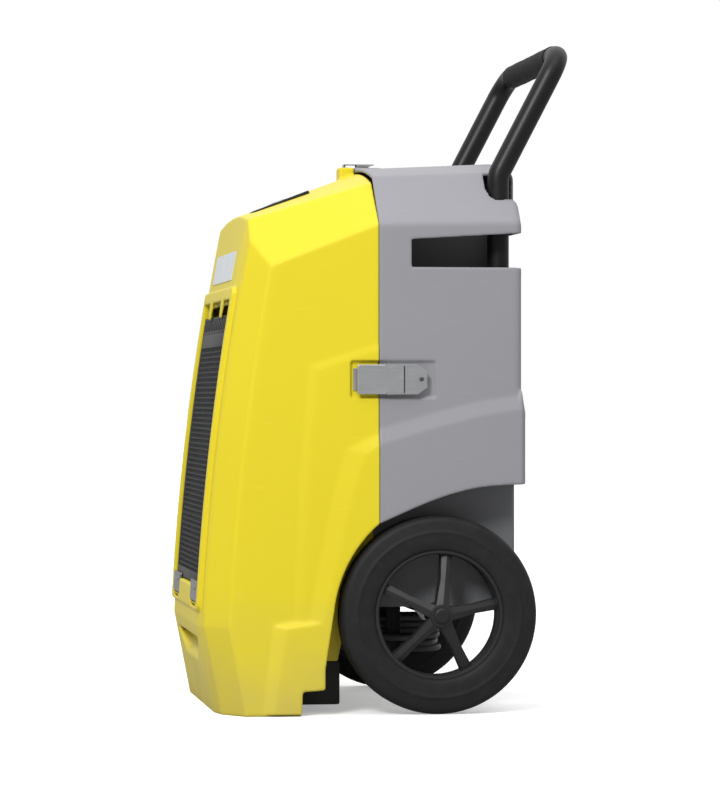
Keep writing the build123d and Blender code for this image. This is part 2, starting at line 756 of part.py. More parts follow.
with BuildPart() as drip_tray:
    with Locations((0, axle_y - 186, 153.5)):
        Box(324, 96, 24)
    with Locations((0, axle_y - 186, 156.5)):
        Box(319, 91, 24, mode=Mode.SUBTRACT)
write(drip_tray, "drip_tray")

compressor_at = (-66.0, axle_y - 30)
with BuildPart() as compressor:
    with BuildSketch(Plane.XZ.offset(-compressor_at[1])):
        with BuildLine():
            Polyline((compressor_at[0], 156), (compressor_at[0] + 55, 156), (compressor_at[0] + 66, 168),
                     (compressor_at[0] + 66, 318), (compressor_at[0] + 55, 334), (compressor_at[0] + 22, 344),
                     (compressor_at[0], 345), close=True)
        make_face()
    revolve(axis=Axis((compressor_at[0], compressor_at[1], 0), (0, 0, 1)))
    with BuildSketch(Plane.XY.offset(153)):
        with Locations(compressor_at):
            with PolarLocations(62, 3, 30):
                Circle(22)
            Circle(60)
    extrude(amount=4)
write(compressor, "compressor")

with BuildPart() as compressor_mounts:
    with BuildSketch(Plane.XY.offset(141.1)):
        with Locations(compressor_at):
            with PolarLocations(62, 3, 30):
                Circle(12)
    extrude(amount=11.9)
write(compressor_mounts, "compressor_mounts")

accumulator_at = (30.0, axle_y - 50)
with BuildPart() as accumulator:
    with BuildSketch(Plane.XY.offset(141.1)):
        with Locations(accumulator_at):
            Circle(24)
    extrude(amount=150)
    fillet(accumulator.part.edges(), 8)
write(accumulator, "accumulator")

with BuildPart() as filter_drier:
    with BuildSketch(Plane.XY.offset(141.1)):
        with Locations((84, axle_y - 60)):
            Circle(13)
    extrude(amount=110)
    fillet(filter_drier.part.edges(), 6)
write(filter_drier, "filter_drier")

pipe_routes = [
    [(-66, axle_y - 30, 345.1), (-66, axle_y - 30, 575), (-66, axle_y - 160, 600), (-66, axle_y - 160, 560)],
    [(30, axle_y - 50, 291.2), (30, axle_y - 50, 592), (30, axle_y - 205, 604), (30, axle_y - 205, 560)],
    [(84, axle_y - 60, 251.2), (84, axle_y - 60, 580), (84, axle_y - 160, 596), (84, axle_y - 160, 560)],
]
with BuildPart() as refrigerant_pipes:
    for route in pipe_routes:
        with BuildLine() as pipe_line:
            FilletPolyline(*route, radius=16)
        with BuildSketch(Plane(origin=route[0], z_dir=(0, 0, 1))):
            Circle(4)
        sweep(path=pipe_line.line)
write(refrigerant_pipes, "refrigerant_pipes")

# Fan: shroud with motor arms, motor, and impeller on the motor's shaft.
with BuildPart() as fan_shroud:
    with BuildSketch(at_y(axle_y + 60)):
        with Locations((0, outlet_z)):
            Rectangle(300, 244)
            Circle(106, mode=Mode.SUBTRACT)
    extrude(amount=3)
    with BuildSketch(at_y(axle_y + 98)):
        with Locations((0, outlet_z)):
            Circle(108.5)
            Circle(106, mode=Mode.SUBTRACT)
    extrude(amount=40)
    with BuildSketch(at_y(axle_y + 57)):
        with Locations((0, outlet_z)):
            with PolarLocations(78, 3, 90):
                Rectangle(72, 14)
            Circle(44)
            Circle(12, mode=Mode.SUBTRACT)
    extrude(amount=5)
write(fan_shroud, "fan_shroud")

with BuildPart() as fan_motor:
    with BuildSketch(at_y(axle_y + 52)):
        with Locations((0, outlet_z)):
            Circle(40)
    extrude(amount=58)
    fillet(chosen(fan_motor.part.edges(), lambda c: c.Y < axle_y), 8)
    with BuildSketch(at_y(axle_y + 58)):
        with Locations((0, outlet_z)):
            Circle(4.06)
    extrude(amount=30, mode=Mode.SUBTRACT)
write(fan_motor, "fan_motor")

with BuildPart() as fan_blade:
    with Locations(Location((64, 0, 0), (32, 0, 0))):
        Box(76, 2.4, 42)

with BuildPart() as fan_impeller:
    with BuildSketch(at_y(axle_y + 90)):
        with Locations((0, outlet_z)):
            Circle(30)
    extrude(amount=26)
    fillet(chosen(fan_impeller.part.edges(), lambda c: c.Y > axle_y + 89), 4)
    with BuildSketch(at_y(axle_y + 66)):
        with Locations((0, outlet_z)):
            Circle(4)
    extrude(amount=32)
    for index in range(5):
        add(Pos(0, fan_y + 3, outlet_z) * Rot(0, index * 72, 0) * fan_blade.part)
write(fan_impeller, "fan_impeller")

with BuildPart() as condensate_pump:
    with Locations((-100, axle_y - 227, 32)):
        Box(100, 72, 55.6)
    with BuildSketch(Plane.XY.offset(59)):
        with Locations((-116, axle_y - 227)):
            Circle(22)
    extrude(amount=46)
write(condensate_pump, "condensate_pump")

with BuildPart() as control_board:
    with Locations((-upper_cabinet_x + 8, axle_y + 10, 590)):
        Box(2, 110, 90)
    for y, z, size in ((-20, 612, 14), (10, 612, 18), (34, 600, 12), (-20, 570, 22), (20, 566, 16)):
        with Locations((-upper_cabinet_x + 9 + size / 2, axle_y + 10 + y, z)):
            Box(size, size, size)
    for y in (-40, 60):
        with Locations((-upper_cabinet_x + 4.5, axle_y + y, 590)):
            Box(5, 8, 60)
write(control_board, "control_board")

with BuildPart() as run_capacitor:
    with BuildSketch(Plane.XY.offset(141.1)):
        with Locations((130, axle_y - 40)):
            Circle(21)
    extrude(amount=95)
    fillet(run_capacitor.part.edges(), 3)
write(run_capacitor, "run_capacitor")

# Mains lead: a gland in the toe's rear wall, the lead beside the hank, and the hank and plug in a strap
# that hangs from the cabinet's floor.
wall_tilt = atan2(14, cabinet_floor - 1 - 66)
gland_along = Vector(0, cos(wall_tilt), -sin(wall_tilt))
gland_at = Vector(59, axle_y - 117, 100)
gland_tip = gland_at + gland_along * 24
with BuildPart() as cord_gland:
    with BuildSketch(Plane(origin=gland_at, x_dir=(1, 0, 0), z_dir=(0, sin(wall_tilt), cos(wall_tilt)))):
        with BuildLine():
            Polyline((0, 0), (11, 0), (11, 6), (8.5, 6), (5.4, 24), (0, 24), close=True)
        make_face()
    revolve(axis=Axis(gland_at, gland_along))
write(cord_gland, "cord_gland")

hank_x = 38.0
hank_y = (axle_y - 98.0, axle_y + 40.0)
hank_z = (66.0, 116.0)
with BuildPart() as cord_hank:
    with Locations((0, sum(hank_y) / 2, sum(hank_z) / 2)):
        Box(2 * hank_x, hank_y[1] - hank_y[0], hank_z[1] - hank_z[0])
    fillet(cord_hank.part.edges().filter_by(Axis.X), 22)
    fillet(chosen(cord_hank.part.edges(), lambda c: abs(c.X) > hank_x - 1), 4)
write(cord_hank, "cord_hank")


def bend_radii(route):
    """Even bends that use no more than nine tenths of each run between them."""
    points = [Vector(*p) for p in route]
    radii = []
    for a, b, c in zip(points, points[1:], points[2:]):
        before, after = b - a, c - b
        turn = radians(before.get_angle(after))
        radii.append(0.45 * min(before.length, after.length) * cos(turn / 2) / sin(turn / 2))
    print("bends", [round(r) for r in radii])
    return radii


def lead(route, end_x):
    """A stretch of the lead along a route, cut off flat where it meets the hank's side."""
    with BuildPart() as tube:
        with BuildLine() as line:
            FilletPolyline(*route, radius=bend_radii(route))
        with BuildSketch(Plane(origin=line.line @ 0, z_dir=line.line % 0)):
            Circle(cord_r)
        sweep(path=line.line)
        with Locations((0, axle_y, 90)):
            Box(2 * abs(end_x), 300, 60, mode=Mode.SUBTRACT)
    return tube.part


tail_route = [tuple(gland_tip), (59, axle_y - 68, 90), (55, axle_y - 43, 87), (48, axle_y - 18, 85.5),
              (34, axle_y + 4, 84.5)]
plug_route = [(-52.5, axle_y - 12, 81), (-52.5, axle_y + 6, 81), (-47.5, axle_y + 24, 80.5),
              (-35, axle_y + 39, 80)]
with BuildPart() as power_cord:
    add(lead(tail_route, hank_x))
write(power_cord, "power_cord")

with BuildPart() as plug_lead:
    add(lead(plug_route, hank_x))
write(plug_lead, "plug_lead")

plug_size = (29.0, 34.0, 30.0)
plug_at = (-hank_x - plug_size[0] / 2, axle_y - 45.0, hank_z[0] + plug_size[2] / 2)
with BuildPart() as power_plug:
    with Locations(plug_at):
        Box(*plug_size)
    fillet(power_plug.part.edges(), 5)
    with Locations((plug_at[0], plug_at[1] + 25, plug_at[2])):
        Cylinder(6, 16, rotation=(90, 0, 0))
    for x in (-6.5, 6.5):
        with Locations((plug_at[0] + x, plug_at[1] - 26, plug_at[2] + 4)):
            Box(1.6, 18, 6.4)
    with Locations((plug_at[0], plug_at[1] - 26, plug_at[2] - 7)):
        Cylinder(2.4, 18, rotation=(90, 0, 0))
write(power_plug, "power_plug")

strap_y = axle_y - 30.0
strap_x = (-hank_x - plug_size[0] - 0.3, hank_x + 0.3)
strap_z = (hank_z[0] - 0.3, cabinet_floor - 1.5)
with BuildPart() as cord_strap:
    with BuildSketch(at_y(strap_y + 10)):
        with Locations((sum(strap_x) / 2, sum(strap_z) / 2)):
            RectangleRounded(strap_x[1] - strap_x[0] + 3, strap_z[1] - strap_z[0] + 3, 4.5)
            RectangleRounded(strap_x[1] - strap_x[0], strap_z[1] - strap_z[0], 3, mode=Mode.SUBTRACT)
    extrude(amount=20)
write(cord_strap, "cord_strap")

# Screws that hold the rear wall to the cabinet.
with BuildPart() as housing_screws:
    with BuildSketch(at_y(rear_y + 1.8)):
        with Locations(*[(x, z) for x in (-200, 200) for z in (440, 520)],
                       *[(x, 545) for x in (-150, 150)]):
            Circle(5.5)
    extrude(amount=1.8)
    fillet(chosen(housing_screws.part.edges(), lambda c: c.Y > rear_y + 1), 0.8)
write(housing_screws, "housing_screws")
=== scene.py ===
import math
import bpy
import bmesh
import numpy as np
from mathutils import Matrix, Vector


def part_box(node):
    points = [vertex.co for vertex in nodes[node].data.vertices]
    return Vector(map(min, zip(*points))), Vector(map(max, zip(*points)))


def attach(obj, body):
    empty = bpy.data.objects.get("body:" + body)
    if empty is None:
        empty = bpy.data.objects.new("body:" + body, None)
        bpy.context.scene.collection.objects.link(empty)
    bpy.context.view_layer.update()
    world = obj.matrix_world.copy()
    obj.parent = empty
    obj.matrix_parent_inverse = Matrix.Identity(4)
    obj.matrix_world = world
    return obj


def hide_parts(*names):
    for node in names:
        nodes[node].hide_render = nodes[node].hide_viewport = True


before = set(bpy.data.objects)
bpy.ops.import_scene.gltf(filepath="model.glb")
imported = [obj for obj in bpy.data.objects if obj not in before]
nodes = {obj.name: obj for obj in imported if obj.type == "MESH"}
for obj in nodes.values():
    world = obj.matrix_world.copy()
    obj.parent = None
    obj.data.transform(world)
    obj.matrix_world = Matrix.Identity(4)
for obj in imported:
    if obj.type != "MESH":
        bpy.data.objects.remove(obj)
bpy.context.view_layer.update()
print("frame in:", len(nodes), "nodes")

# Places that several pieces share, in metres.
axle = {"y": 0.0613, "z": 0.127}
seam = -0.0167


def circleThrough(a, b, c):
    bx, by, cx, cy = b[0] - a[0], b[1] - a[1], c[0] - a[0], c[1] - a[1]
    d = 2 * (bx * cy - by * cx)
    x = (cy * (bx * bx + by * by) - by * (cx * cx + cy * cy)) / d
    y = (bx * (cx * cx + cy * cy) - cx * (bx * bx + by * by)) / d
    return a[0] + x, a[1] + y, math.hypot(x, y)


# The front's curve from the side: its circle's centre and radius, from three points on it.
face = dict(zip("yzr", circleThrough((-0.1945, 0.545), (-0.2236, 0.340), (-0.2403, 0.142))))


def faceY(z, out=0.0):
    return face["y"] - np.sqrt((face["r"] + out) ** 2 - (z - face["z"]) ** 2)


# Node trees, for finishes and for grown pieces alike.
class Wire:
    # A socket that takes arithmetic, each operation as one Math node.
    def __init__(self, board, socket):
        self.board = board
        self.socket = socket

    def maths(self, operation, first, second=0.0):
        return self.board.add(self.board.maths, {"operation": operation}, {0: first, 1: second})

    def __add__(self, other):
        return self.maths("ADD", self, other)

    def __sub__(self, other):
        return self.maths("SUBTRACT", self, other)

    def __rsub__(self, other):
        return self.maths("SUBTRACT", other, self)

    def __mul__(self, other):
        return self.maths("MULTIPLY", self, other)

    def __truediv__(self, other):
        return self.maths("DIVIDE", self, other)

    def __pow__(self, other):
        return self.maths("POWER", self, other)

    def __mod__(self, other):
        return self.maths("FLOORED_MODULO", self, other)

    __radd__ = __add__


class Board:
    # A node tree that takes one node at a time.
    maths = "ShaderNodeMath"

    def __init__(self, tree):
        self.tree = tree

    def add(self, kind, settings=None, values=None, output=0):
        node = self.tree.nodes.new(kind)
        for key, value in (settings or {}).items():
            if key == "stops":
                while len(node.color_ramp.elements) < len(value):
                    node.color_ramp.elements.new(0.5)
                for element, (at, tone) in zip(node.color_ramp.elements, value):
                    element.position, element.color = at, (tone, tone, tone, 1)
            else:
                setattr(node, key, value)
        for key, value in (values or {}).items():
            if isinstance(value, Wire):
                self.tree.links.new(value.socket, node.inputs[key])
            else:
                node.inputs[key].default_value = value
        return Wire(self, node.outputs[output])

    def blend(self, amount, low, high):
        return self.add("ShaderNodeMix", {"data_type": "RGBA"}, {0: amount, 6: low, 7: high}, 2)

    def ramp(self, value, stops):
        return self.add("ShaderNodeValToRGB", {"stops": stops}, {0: value})

    def noise(self, spot, scale, detail=2.0, roughness=0.5):
        return self.add("ShaderNodeTexNoise", None,
                        {"Vector": spot, "Scale": scale, "Detail": detail, "Roughness": roughness})


def rgb(red, green, blue):
    # Linear colour from the three values of a screen colour.
    return tuple(((v / 255 + 0.055) / 1.055) ** 2.4 if v > 10 else v / 255 / 12.92
                 for v in (red, green, blue)) + (1.0,)


def finish(name, make):
    material = bpy.data.materials.new(name)
    material.use_nodes = True
    tree = material.node_tree
    tree.nodes.clear()
    board = Board(tree)
    spot = board.add("ShaderNodeTexCoord", None, None, "Object")
    surface = board.add("ShaderNodeBsdfPrincipled", None, make(board, spot))
    output = tree.nodes.new("ShaderNodeOutputMaterial")
    tree.links.new(surface.socket, output.inputs["Surface"])
    return material


def stretched(board, spot, scale):
    return board.add("ShaderNodeMapping", None, {"Vector": spot, "Scale": scale})


def bumped(board, height, strength, distance, under=None):
    values = {"Height": height, "Strength": strength, "Distance": distance}
    if under is not None:
        values["Normal"] = under
    return board.add("ShaderNodeBump", None, values)


def heightOf(board, spot):
    return board.add("ShaderNodeSeparateXYZ", None, {"Vector": spot}, 2)


def clamped(board, value):
    return board.add("ShaderNodeClamp", None, {"Value": value})


def shellPlastic(colour, worn, rough=0.40, soft=0.004):
    # Moulded shell: fine spark texture, slow tone drift, scuffs, and dust near the floor.
    def make(board, spot):
        drift = board.noise(spot, 2.6, 3.0)
        spark = board.noise(spot, 1500.0, 1.0)
        scuff = board.ramp(board.noise(stretched(board, spot, (30, 9, 46)), 3.0, 6.0, 0.65),
                           [(0.60, 0.0), (0.74, 1.0)])
        low = clamped(board, 1.0 - heightOf(board, spot) / 0.16)
        dusty = clamped(board, low * board.noise(spot, 14.0, 5.0) * 0.55)
        edge = board.add("ShaderNodeNewGeometry", None, None, "Pointiness")
        rubbed = board.ramp(edge, [(0.52, 0.0), (0.62, 1.0)]) * 0.35
        darker = tuple(0.90 * v for v in colour[:3]) + (1,)
        tone = board.blend(drift, darker, colour)
        tone = board.blend(scuff * 0.16, tone, worn)
        tone = board.blend(rubbed, tone, worn)
        tone = board.blend(dusty, tone, rgb(150, 140, 120))
        round_ = board.add("ShaderNodeBevel", {"samples": 6}, {"Radius": soft})
        return {"Base Color": tone,
                "Roughness": clamped(board, rough + drift * 0.08 + scuff * 0.14 + dusty * 0.3),
                "Normal": bumped(board, spark, 0.16, 0.0004, round_), "Specular IOR Level": 0.22}
    return make


def satinPaint(colour, rough=0.5, peel=0.25, soft=0.001):
    # Powder coat: orange peel, dust marks, slow tone drift, and edges rounded in the shading.
    def make(board, spot):
        drift = board.noise(spot, 5.0, 3.0)
        skin = board.noise(spot, 520.0, 2.0)
        mark = board.ramp(board.noise(stretched(board, spot, (60, 60, 12)), 3.0, 5.0, 0.6),
                          [(0.62, 0.0), (0.72, 1.0)])
        pale = tuple(min(1.0, v * 1.5 + 0.02) for v in colour[:3]) + (1,)
        tone = board.blend(drift * 0.3, colour, pale)
        tone = board.blend(mark * 0.2, tone, pale)
        round_ = board.add("ShaderNodeBevel", {"samples": 4}, {"Radius": soft})
        return {"Base Color": tone, "Roughness": clamped(board, rough + drift * 0.12 + mark * 0.1),
                "Normal": bumped(board, skin, peel, 0.0004, round_), "Specular IOR Level": 0.25}
    return make


def brushedMetal(colour, rough=0.28, grain=(900, 30, 900), soft=0.0006):
    def make(board, spot):
        lines = board.noise(stretched(board, spot, grain), 1.0, 3.0, 0.6)
        drift = board.noise(spot, 24.0, 3.0)
        stain = board.ramp(board.noise(spot, 70.0, 5.0, 0.7), [(0.56, 0.0), (0.72, 1.0)])
        dull = tuple(0.72 * v for v in colour[:3]) + (1,)
        tone = board.blend(stain * 0.35, board.blend(lines, dull, colour), dull)
        round_ = board.add("ShaderNodeBevel", {"samples": 4}, {"Radius": soft})
        return {"Base Color": tone, "Metallic": 1.0,
                "Roughness": clamped(board, rough + lines * 0.12 + drift * 0.08 + stain * 0.15),
                "Normal": bumped(board, lines, 0.12, 0.0003, round_)}
    return make


def rubberSkin(colour, rough=0.72, fine=900.0):
    def make(board, spot):
        grit = board.noise(spot, fine, 3.0, 0.6)
        drift = board.noise(spot, 16.0, 4.0)
        dust = board.ramp(board.noise(spot, 55.0, 6.0, 0.65), [(0.45, 0.0), (0.8, 1.0)])
        tone = board.blend(drift * 0.35, colour, tuple(v * 1.5 for v in colour[:3]) + (1,))
        tone = board.blend(dust * 0.05, tone, rgb(112, 108, 100))
        return {"Base Color": tone, "Roughness": clamped(board, rough + dust * 0.12),
                "Normal": bumped(board, grit, 0.3, 0.0004), "Specular IOR Level": 0.25}
    return make


def foamSkin(colour):
    def make(board, spot):
        cells = board.add("ShaderNodeTexVoronoi", None, {"Vector": spot, "Scale": 900.0})
        drift = board.noise(spot, 22.0, 3.0)
        tone = board.blend(drift * 0.5, colour, rgb(30, 30, 31))
        return {"Base Color": tone, "Roughness": clamped(board, 0.66 + drift * 0.15),
                "Normal": bumped(board, cells, 0.5, 0.0006), "Specular IOR Level": 0.25}
    return make


def wovenBand(colour, pale, pitch=620.0):
    def make(board, spot):
        over = board.add("ShaderNodeTexWave", {"wave_type": "BANDS", "bands_direction": "DIAGONAL"},
                         {"Vector": spot, "Scale": pitch / 6.28, "Distortion": 0.6, "Detail": 1.0}, 1)
        cross = board.add("ShaderNodeTexWave", {"wave_type": "BANDS", "bands_direction": "Y"},
                          {"Vector": spot, "Scale": pitch / 6.28, "Distortion": 0.4}, 1)
        weave = over * cross
        return {"Base Color": board.blend(weave, colour, pale),
                "Roughness": clamped(board, 0.8 + weave * 0.1),
                "Normal": bumped(board, weave, 0.7, 0.0006)}
    return make


def filterFelt(colour, pale):
    def make(board, spot):
        fibre = board.noise(stretched(board, spot, (260, 260, 900)), 2.0, 6.0, 0.7)
        clump = board.noise(spot, 60.0, 4.0)
        return {"Base Color": board.blend(fibre * clump * 1.8, colour, pale),
                "Roughness": clamped(board, 0.88 + clump * 0.1),
                "Normal": bumped(board, fibre, 0.6, 0.0008)}
    return make


def plainGloss(colour, rough, metallic=0.0, glow=None):
    def make(board, spot):
        drift = board.noise(spot, 30.0, 3.0)
        smear = board.noise(spot, 140.0, 4.0)
        other = tuple(0.86 * v for v in colour[:3]) + (1,)
        values = {"Base Color": board.blend(drift, other, colour), "Metallic": metallic,
                  "Roughness": clamped(board, rough + smear * 0.1),
                  "Normal": bumped(board, smear, 0.05, 0.0004)}
        if glow:
            values["Emission Color"] = board.blend(drift, tuple(0.8 * v for v in glow[:3]) + (1,), glow)
            values["Emission Strength"] = 1.6
        return values
    return make


finishes = {
    "yellowShell": finish("yellowShell", shellPlastic(rgb(216, 198, 38), rgb(228, 214, 96), 0.38, 0.003)),
    "greyShell": finish("greyShell", shellPlastic(rgb(139, 139, 144), rgb(160, 160, 164), 0.40, 0.003)),
    "cabinetPaint": finish("cabinetPaint", satinPaint(rgb(98, 99, 101), 0.5)),
    "blackPlastic": finish("blackPlastic", satinPaint(rgb(26, 26, 28), 0.48, 0.3)),
    "wheelRim": finish("wheelRim", satinPaint(rgb(34, 34, 35), 0.40, 0.2, 0.0015)),
    "wheelRubber": finish("wheelRubber", rubberSkin(rgb(22, 22, 23), 0.6)),
    "padRubber": finish("padRubber", rubberSkin(rgb(34, 34, 35), 0.8)),
    "keyRubber": finish("keyRubber", rubberSkin(rgb(205, 207, 210), 0.6)),
    "handlePaint": finish("handlePaint", satinPaint(rgb(14, 14, 15), 0.34, 0.2)),
    "foamGrip": finish("foamGrip", foamSkin(rgb(14, 14, 15))),
    "grilleSteel": finish("grilleSteel", satinPaint(rgb(44, 45, 47), 0.45, 0.3)),
    "filterMedia": finish("filterMedia", filterFelt(rgb(120, 122, 122), rgb(196, 198, 196))),
    "latchSteel": finish("latchSteel", brushedMetal(rgb(188, 189, 191), 0.34)),
    "clipSteel": finish("clipSteel", brushedMetal(rgb(150, 151, 154), 0.3, (60, 60, 900))),
    "zincSteel": finish("zincSteel", brushedMetal(rgb(196, 196, 190), 0.34, (300, 300, 300))),
    "labelFilm": finish("labelFilm", plainGloss(rgb(206, 212, 216), 0.28)),
    "displayWindow": finish("displayWindow", plainGloss(rgb(18, 20, 22), 0.12)),
    "displayGlow": finish("displayGlow", plainGloss(rgb(250, 120, 40), 0.4, 0.0, rgb(255, 130, 50))),
    "panelPrint": finish("panelPrint", plainGloss(rgb(225, 226, 228), 0.4)),
    "coilFins": finish("coilFins", brushedMetal(rgb(198, 202, 206), 0.36, (40, 900, 900), 0.0001)),
    "copperPipe": finish("copperPipe", brushedMetal(rgb(200, 122, 84), 0.3, (200, 200, 60))),
    "compressorPaint": finish("compressorPaint", satinPaint(rgb(30, 31, 33), 0.3, 0.2)),
    "fanPlastic": finish("fanPlastic", satinPaint(rgb(62, 64, 67), 0.45, 0.2)),
    "boardLaminate": finish("boardLaminate", plainGloss(rgb(34, 92, 58), 0.35)),
    "capacitorCan": finish("capacitorCan", brushedMetal(rgb(190, 192, 196), 0.38, (300, 300, 30))),
    "trayPlastic": finish("trayPlastic", satinPaint(rgb(70, 72, 75), 0.45, 0.2)),
    "cordRubber": finish("cordRubber", rubberSkin(rgb(66, 66, 68), 0.45, 1600.0)),
    "strapWebbing": finish("strapWebbing", wovenBand(rgb(20, 20, 22), rgb(38, 39, 41))),
}
print("finishes made:", len(finishes))

# The CAD nodes that show as they are, by finish.
carried = {
    "cabinetPaint": ["cabinet", "chassis_plate"],
    "blackPlastic": ["base_foot", "outlet_collar", "handle_guides", "cord_gland", "axle_caps",
                     "control_panel"],
    "wheelRim": ["rim_right", "rim_left"],
    "padRubber": ["compressor_mounts"],
    "keyRubber": ["control_key_1", "control_key_2", "control_key_3", "control_key_4"],
    "handlePaint": ["handle_tube", "outlet_guard"],
    "latchSteel": ["latch_bases", "latch_keepers",
                   "latch_lever_right", "latch_lever_left", "latch_lever_top",
                   "latch_claw_right", "latch_claw_left", "latch_claw_top"],
    "clipSteel": ["grille_clip_right", "grille_clip_left"],
    "zincSteel": ["wheel_axle", "axle_spacers", "axle_brackets", "housing_screws"],
    "labelFilm": ["label_plate"],
    "displayWindow": ["display_window"],
    "copperPipe": ["refrigerant_pipes", "filter_drier"],
    "compressorPaint": ["compressor", "accumulator"],
    "fanPlastic": ["fan_impeller", "fan_shroud"],
    "boardLaminate": ["control_board"],
    "capacitorCan": ["run_capacitor", "fan_motor"],
    "trayPlastic": ["drip_tray", "condensate_pump"],
    "cordRubber": ["power_plug"],
}
for look, names in carried.items():
    for name in names:
        if name in nodes:
            nodes[name].data.materials.clear()
            nodes[name].data.materials.append(finishes[look])
print("finishes laid on carried nodes")


def place(name, mesh, look, body, stands=()):
    # Puts a finished mesh or curve in the scene, on its body, with its finish.
    piece = bpy.data.objects.new(name, mesh)
    bpy.context.scene.collection.objects.link(piece)
    if look:
        mesh.materials.clear()
        mesh.materials.append(finishes[look])
    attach(piece, body)
    if stands:
        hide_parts(*stands)
    return piece


def smoothShaded(mesh, angle=35):
    mesh.polygons.foreach_set("use_smooth", [True] * len(mesh.polygons))
    mesh.set_sharp_from_angle(angle=math.radians(angle))
    mesh.update()


def evaluated(piece):
    graph = bpy.context.evaluated_depsgraph_get()
    return bpy.data.meshes.new_from_object(piece.evaluated_get(graph))


def throughModifier(mesh, kind, **settings):
    piece = bpy.data.objects.new("work", mesh)
    bpy.context.scene.collection.objects.link(piece)
    modifier = piece.modifiers.new("work", kind)
    for key, value in settings.items():
        setattr(modifier, key, value)
    made = evaluated(piece)
    bpy.data.objects.remove(piece)
    return made


def softened(source, recipe):
    # Rounds a shell's outer edges: fine remesh, a few small averagings, rims held, then thinned.
    mesh = nodes[source].data.copy()
    work = bmesh.new()
    work.from_mesh(mesh)
    bmesh.ops.remove_doubles(work, verts=work.verts, dist=1e-6)
    work.to_mesh(mesh)
    work.free()
    mesh = throughModifier(mesh, "REMESH", mode="VOXEL", voxel_size=recipe["voxel"])
    count = len(mesh.vertices)
    at = np.empty(count * 3, np.float32)
    mesh.vertices.foreach_get("co", at)
    at = at.reshape(-1, 3).astype(float)
    pairs = np.empty(len(mesh.edges) * 2, np.int32)
    mesh.edges.foreach_get("vertices", pairs)
    pairs = pairs.reshape(-1, 2)
    start = np.concatenate([pairs[:, 0], pairs[:, 1]])
    end = np.concatenate([pairs[:, 1], pairs[:, 0]])
    near = np.bincount(start, minlength=count)

    def averaged(values):
        return np.stack([np.bincount(start, weights=values[end, k], minlength=count)
                         for k in range(values.shape[1])], 1) / near[:, None]

    normal = np.empty(count * 3, np.float32)
    mesh.vertex_normals.foreach_get("vector", normal)
    normal = normal.reshape(-1, 3).astype(float)
    for step in range(recipe["normalRounds"]):
        normal = averaged(normal)
    hold = np.clip((np.linalg.norm(normal, axis=1) - 0.60) / 0.14, 0, 1)[:, None]
    for step in range(5):
        hold = np.clip(1.6 * averaged(hold) - 0.6, 0, 1)
    weight = hold[:, 0] * recipe["crisp"](at[:, 0], at[:, 1], at[:, 2])
    weight = 0.5 * np.maximum(weight, recipe["least"])[:, None]
    for step in range(recipe["rounds"]):
        at += weight * (averaged(at) - at)
    mesh.vertices.foreach_set("co", at.astype(np.float32).ravel())
    mesh.update()
    triangles = 2 * len(mesh.polygons)
    if triangles > recipe["most"]:
        mesh = throughModifier(mesh, "DECIMATE", ratio=recipe["most"] / triangles)
    smoothShaded(mesh, recipe["sharp"])
    return mesh


def eased(values, low, high):
    t = np.clip((values - low) / (high - low), 0, 1)
    return t * t * (3 - 2 * t)


def outside(x, y, z, box, fade=0.010):
    # 0 inside a box, 1 a fade's width outside it.
    far = np.zeros_like(x)
    for values, (low, high) in zip((x, y, z), box):
        far = np.maximum(far, np.maximum(low - values, values - high))
    return eased(far, 0, fade)


def frontCrisp(x, y, z):
    side = np.abs(x)
    return (outside(side, y, z, ((0, 0.176), (-0.5, -0.165), (0.122, 0.554)), 0.006)
            * outside(side, y, z, ((0, 0.098), (-0.3, -0.05), (0.62, 0.73)), 0.006)
            * outside(side, y, z, ((0.215, 0.3), (-0.07, 0.1), (0.398, 0.457)), 0.008)
            * outside(side, y, z, ((0, 0.022), (-0.05, 0.0), (0.68, 0.73)), 0.004)
            * eased(seam - 0.0015 - y, 0, 0.004) * eased(z, 0.002, 0.010)
            * (0.35 + 0.65 * outside(side, y, z, ((0, 0.15), (-0.5, -0.12), (0.0, 0.11)))))


def rearCrisp(x, y, z):
    side = np.abs(x)
    return (outside(side, y, z, ((0.215, 0.3), (-0.07, 0.1), (0.398, 0.457)), 0.008)
            * outside(side, y, z, ((0, 0.022), (-0.02, 0.03), (0.68, 0.73)), 0.004)
            * outside(side, y, z, ((0.19, 0.3), (0.02, 0.3), (0.560, 0.624)), 0.004)
            * outside(side, y, z, ((0.15, 0.21), (0.115, 0.3), (0.63, 0.73)), 0.006)
            * eased(y - seam - 0.0015, 0, 0.004))


shells = {
    "front_housing": {"voxel": 0.0017, "normalRounds": 5, "rounds": 5, "least": 0.05, "most": 185000,
                      "crisp": frontCrisp, "finish": "yellowShell", "sharp": 38},
    "rear_housing": {"voxel": 0.0017, "normalRounds": 5, "rounds": 5, "least": 0.05, "most": 150000,
                     "crisp": rearCrisp, "finish": "greyShell", "sharp": 38},
}
for source, recipe in shells.items():
    place(source.replace("_housing", "_shell"), softened(source, recipe), recipe["finish"], "body",
          [source])
    print("softened", source)


def turned(profile, centre, sides=128, closed=True):
    # Lathed mesh about a line along X; the profile is (x, radius) pairs.
    rings = len(profile)
    angle = np.linspace(0, 2 * math.pi, sides, endpoint=False)
    points = [(centre[0] + x, centre[1] + r * math.cos(a), centre[2] + r * math.sin(a))
              for a in angle for x, r in profile]
    faces = []
    for i in range(sides):
        for j in range(rings if closed else rings - 1):
            a, b = i * rings + j, i * rings + (j + 1) % rings
            c, d = ((i + 1) % sides) * rings + (j + 1) % rings, ((i + 1) % sides) * rings + j
            faces.append((a, b, c, d))
    mesh = bpy.data.meshes.new("turned")
    mesh.from_pydata(points, [], faces)
    work = bmesh.new()
    work.from_mesh(mesh)
    bmesh.ops.recalc_face_normals(work, faces=work.faces)
    work.to_mesh(mesh)
    work.free()
    return mesh


